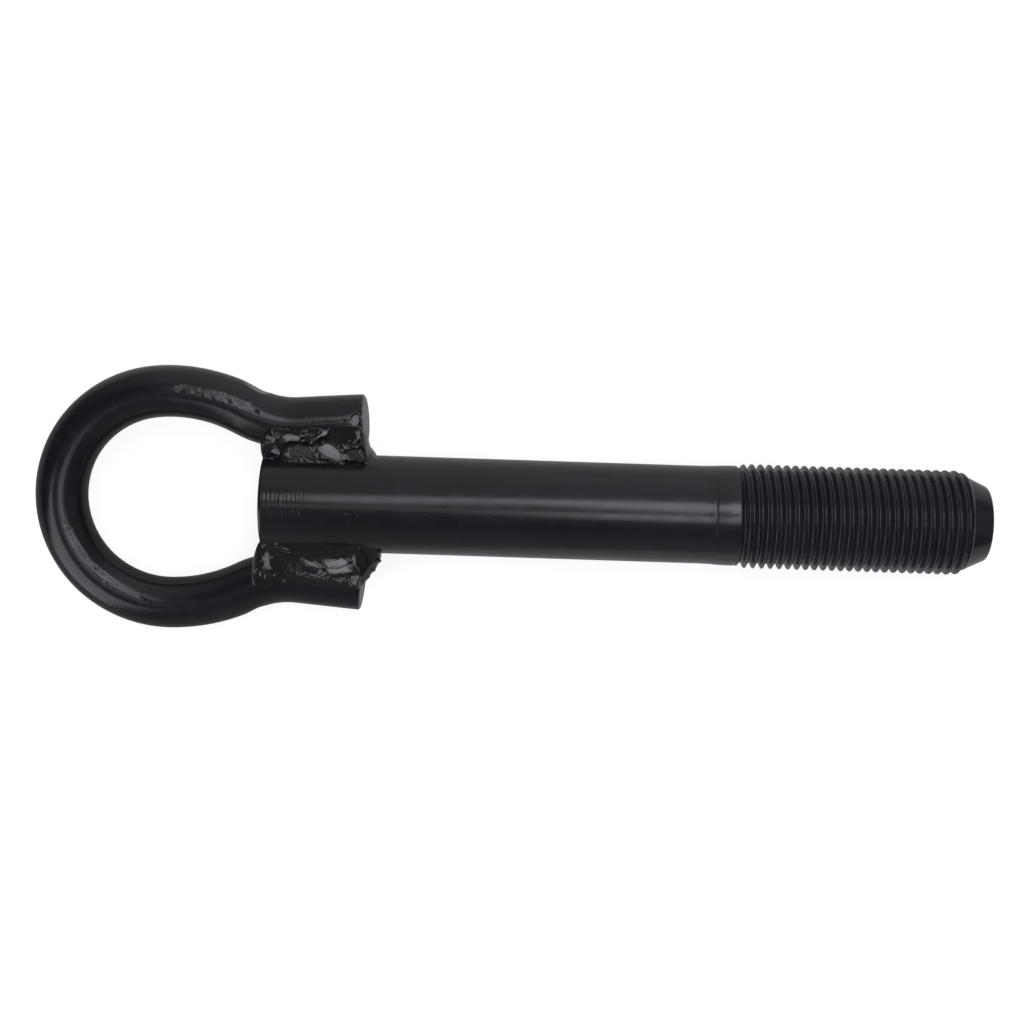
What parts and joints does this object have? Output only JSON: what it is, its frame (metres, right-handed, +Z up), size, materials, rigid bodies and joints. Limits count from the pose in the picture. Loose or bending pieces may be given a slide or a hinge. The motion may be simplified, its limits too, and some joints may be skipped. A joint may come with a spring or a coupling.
{
  "type": "tow eye",
  "caption": "Screw-in towing eye: round bar bent to an omega-shaped loop and fillet-welded astride a thick round shank, which ends in a fine right-hand thread and a tapered nose.",
  "frame": {"origin": "on the shank's axis, where the full thread begins", "axes": "+X along the shank from the eye towards the threaded nose; +Z up from the surface the part lies on, with the eye rolled about X until its lower side touches that surface"},
  "size_m": [0.2181, 0.0598, 0.024],
  "materials": {
    "black_paint": "satin-gloss black paint over steel and welds"
  },
  "bodies": {
    "root": {"eye_bar": "black_paint", "threaded_shank": "black_paint", "left_leg_top_weld": "black_paint", "right_leg_top_weld": "black_paint", "left_leg_bottom_weld": "black_paint", "right_leg_bottom_weld": "black_paint"}
  },
  "joints": []
}
